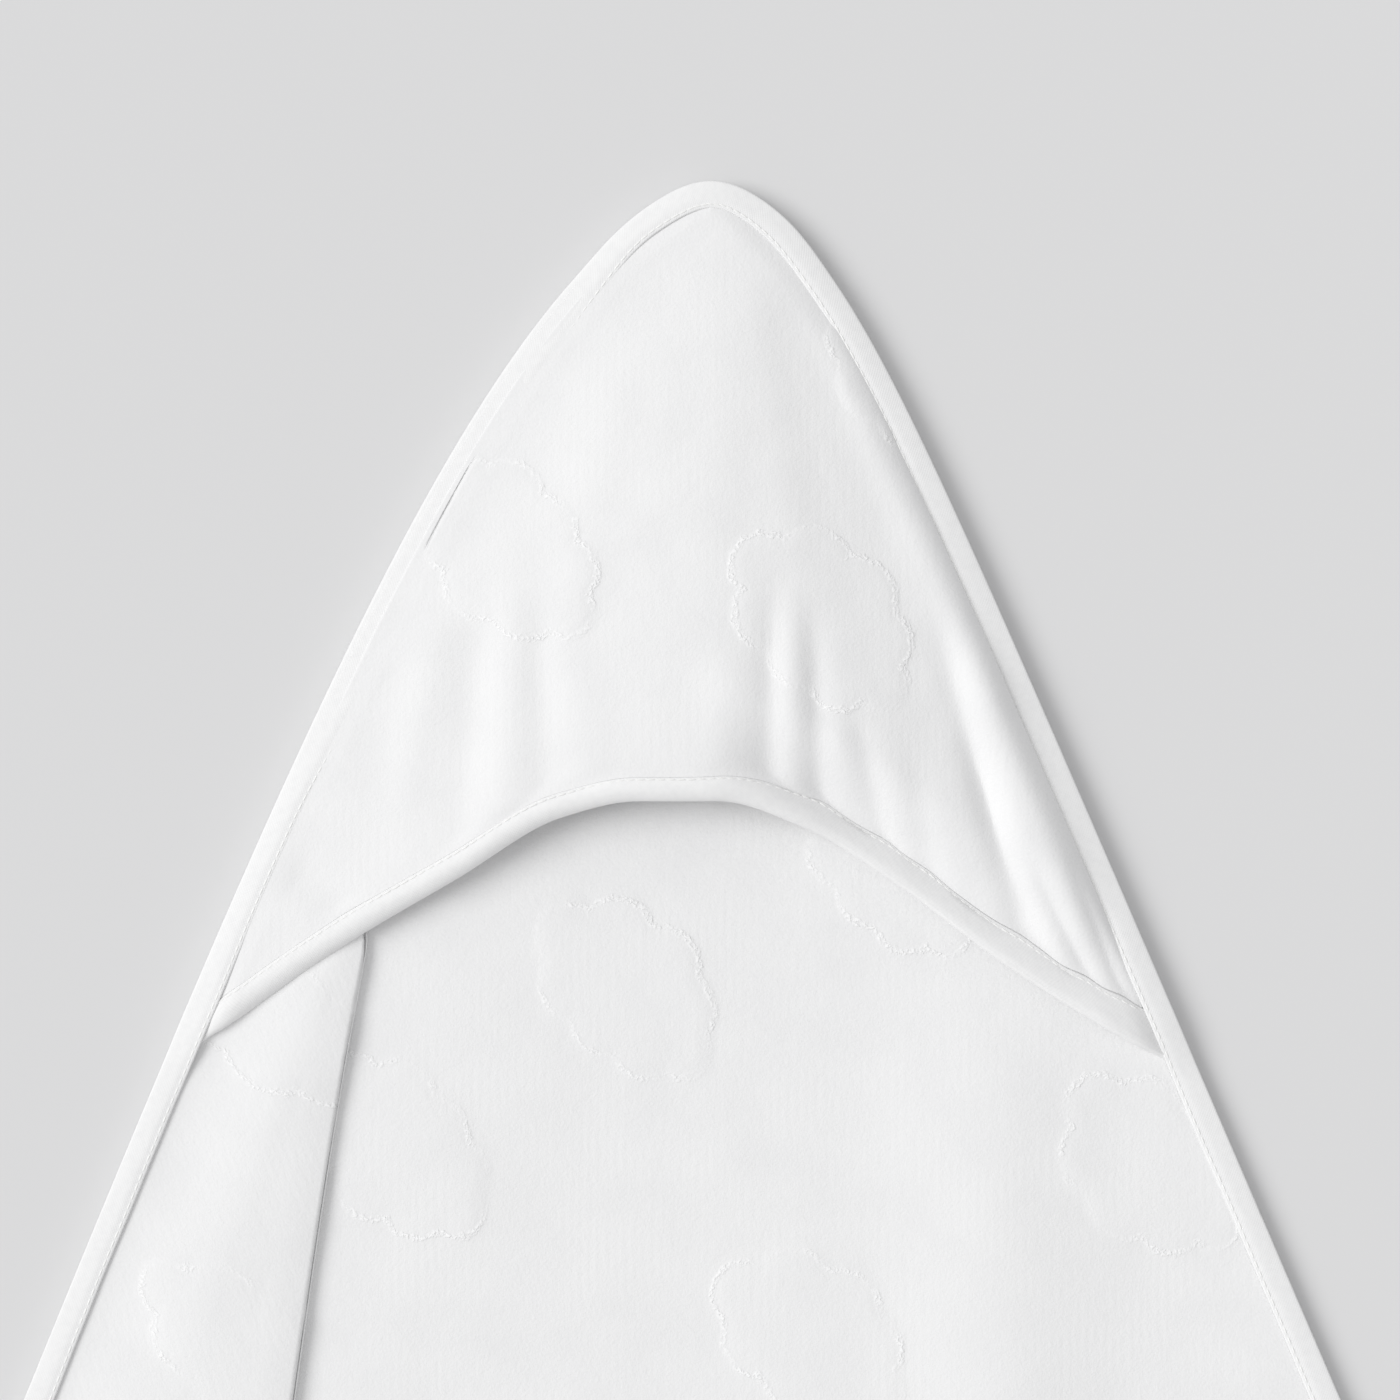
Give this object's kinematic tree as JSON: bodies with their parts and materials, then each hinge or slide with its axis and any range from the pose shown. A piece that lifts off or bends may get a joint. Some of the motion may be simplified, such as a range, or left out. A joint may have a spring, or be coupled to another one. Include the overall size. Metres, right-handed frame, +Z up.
{
  "type": "hooded baby towel",
  "caption": "Square terry towel for a baby with a corner hood, taped edges and embossed cloud outlines, laid out flat.",
  "frame": {"origin": "middle of the towel's box, on the surface that it lies on", "axes": "+Y towards the tip of the hood, +X to the right seen from above with the hood at the top, +Z up"},
  "size_m": [0.6596, 1.1118, 0.0388],
  "materials": {
    "terry": "short-pile cotton velour on one side, terry loops on the other",
    "tape": "smooth woven cotton bias tape",
    "thread": "spun polyester sewing thread",
    "label": "blank satin ribbon"
  },
  "bodies": {
    "centre": {"towel_panel_centre": "terry", "edge_tape_centre": "tape", "edge_stitching_centre": "thread"},
    "hood": {"hood_panel": "terry", "hood_mouth_tape": "tape", "hood_mouth_stitching": "thread"},
    "left_wing": {"towel_panel_left_wing": "terry", "edge_tape_left_wing": "tape", "edge_stitching_left_wing": "thread"},
    "right_wing": {"towel_panel_right_wing": "terry", "edge_tape_right_wing": "tape", "edge_stitching_right_wing": "thread"},
    "foot": {"towel_panel_foot": "terry", "edge_tape_foot": "tape", "edge_stitching_foot": "thread"},
    "label": {"care_label": "label"}
  },
  "joints": [
    {"name": "hood_lift", "type": "hinge", "parent": "centre", "child": "hood", "pos_m": [0.0034, 0.54091, 0.005], "axis": [-1, 0, 0], "range_deg": [0, 32]},
    {"name": "left_wrap", "type": "hinge", "parent": "centre", "child": "left_wing", "pos_m": [-0.1646, 0, 0.0197], "axis": [0, 1, 0], "range_deg": [0, 130]},
    {"name": "right_wrap", "type": "hinge", "parent": "centre", "child": "right_wing", "pos_m": [0.1674, 0, 0.0197], "axis": [0, -1, 0], "range_deg": [0, 130]},
    {"name": "foot_wrap", "type": "hinge", "parent": "centre", "child": "foot", "pos_m": [0.0034, -0.34871, 0.0197], "axis": [-1, 0, 0], "range_deg": [0, 120]},
    {"name": "label_flip", "type": "hinge", "parent": "left_wing", "child": "label", "pos_m": [-0.28591, -0.21428, 0.0013], "axis": [-0.6261, 0.7797, 0], "range_deg": [0, 90]}
  ]
}
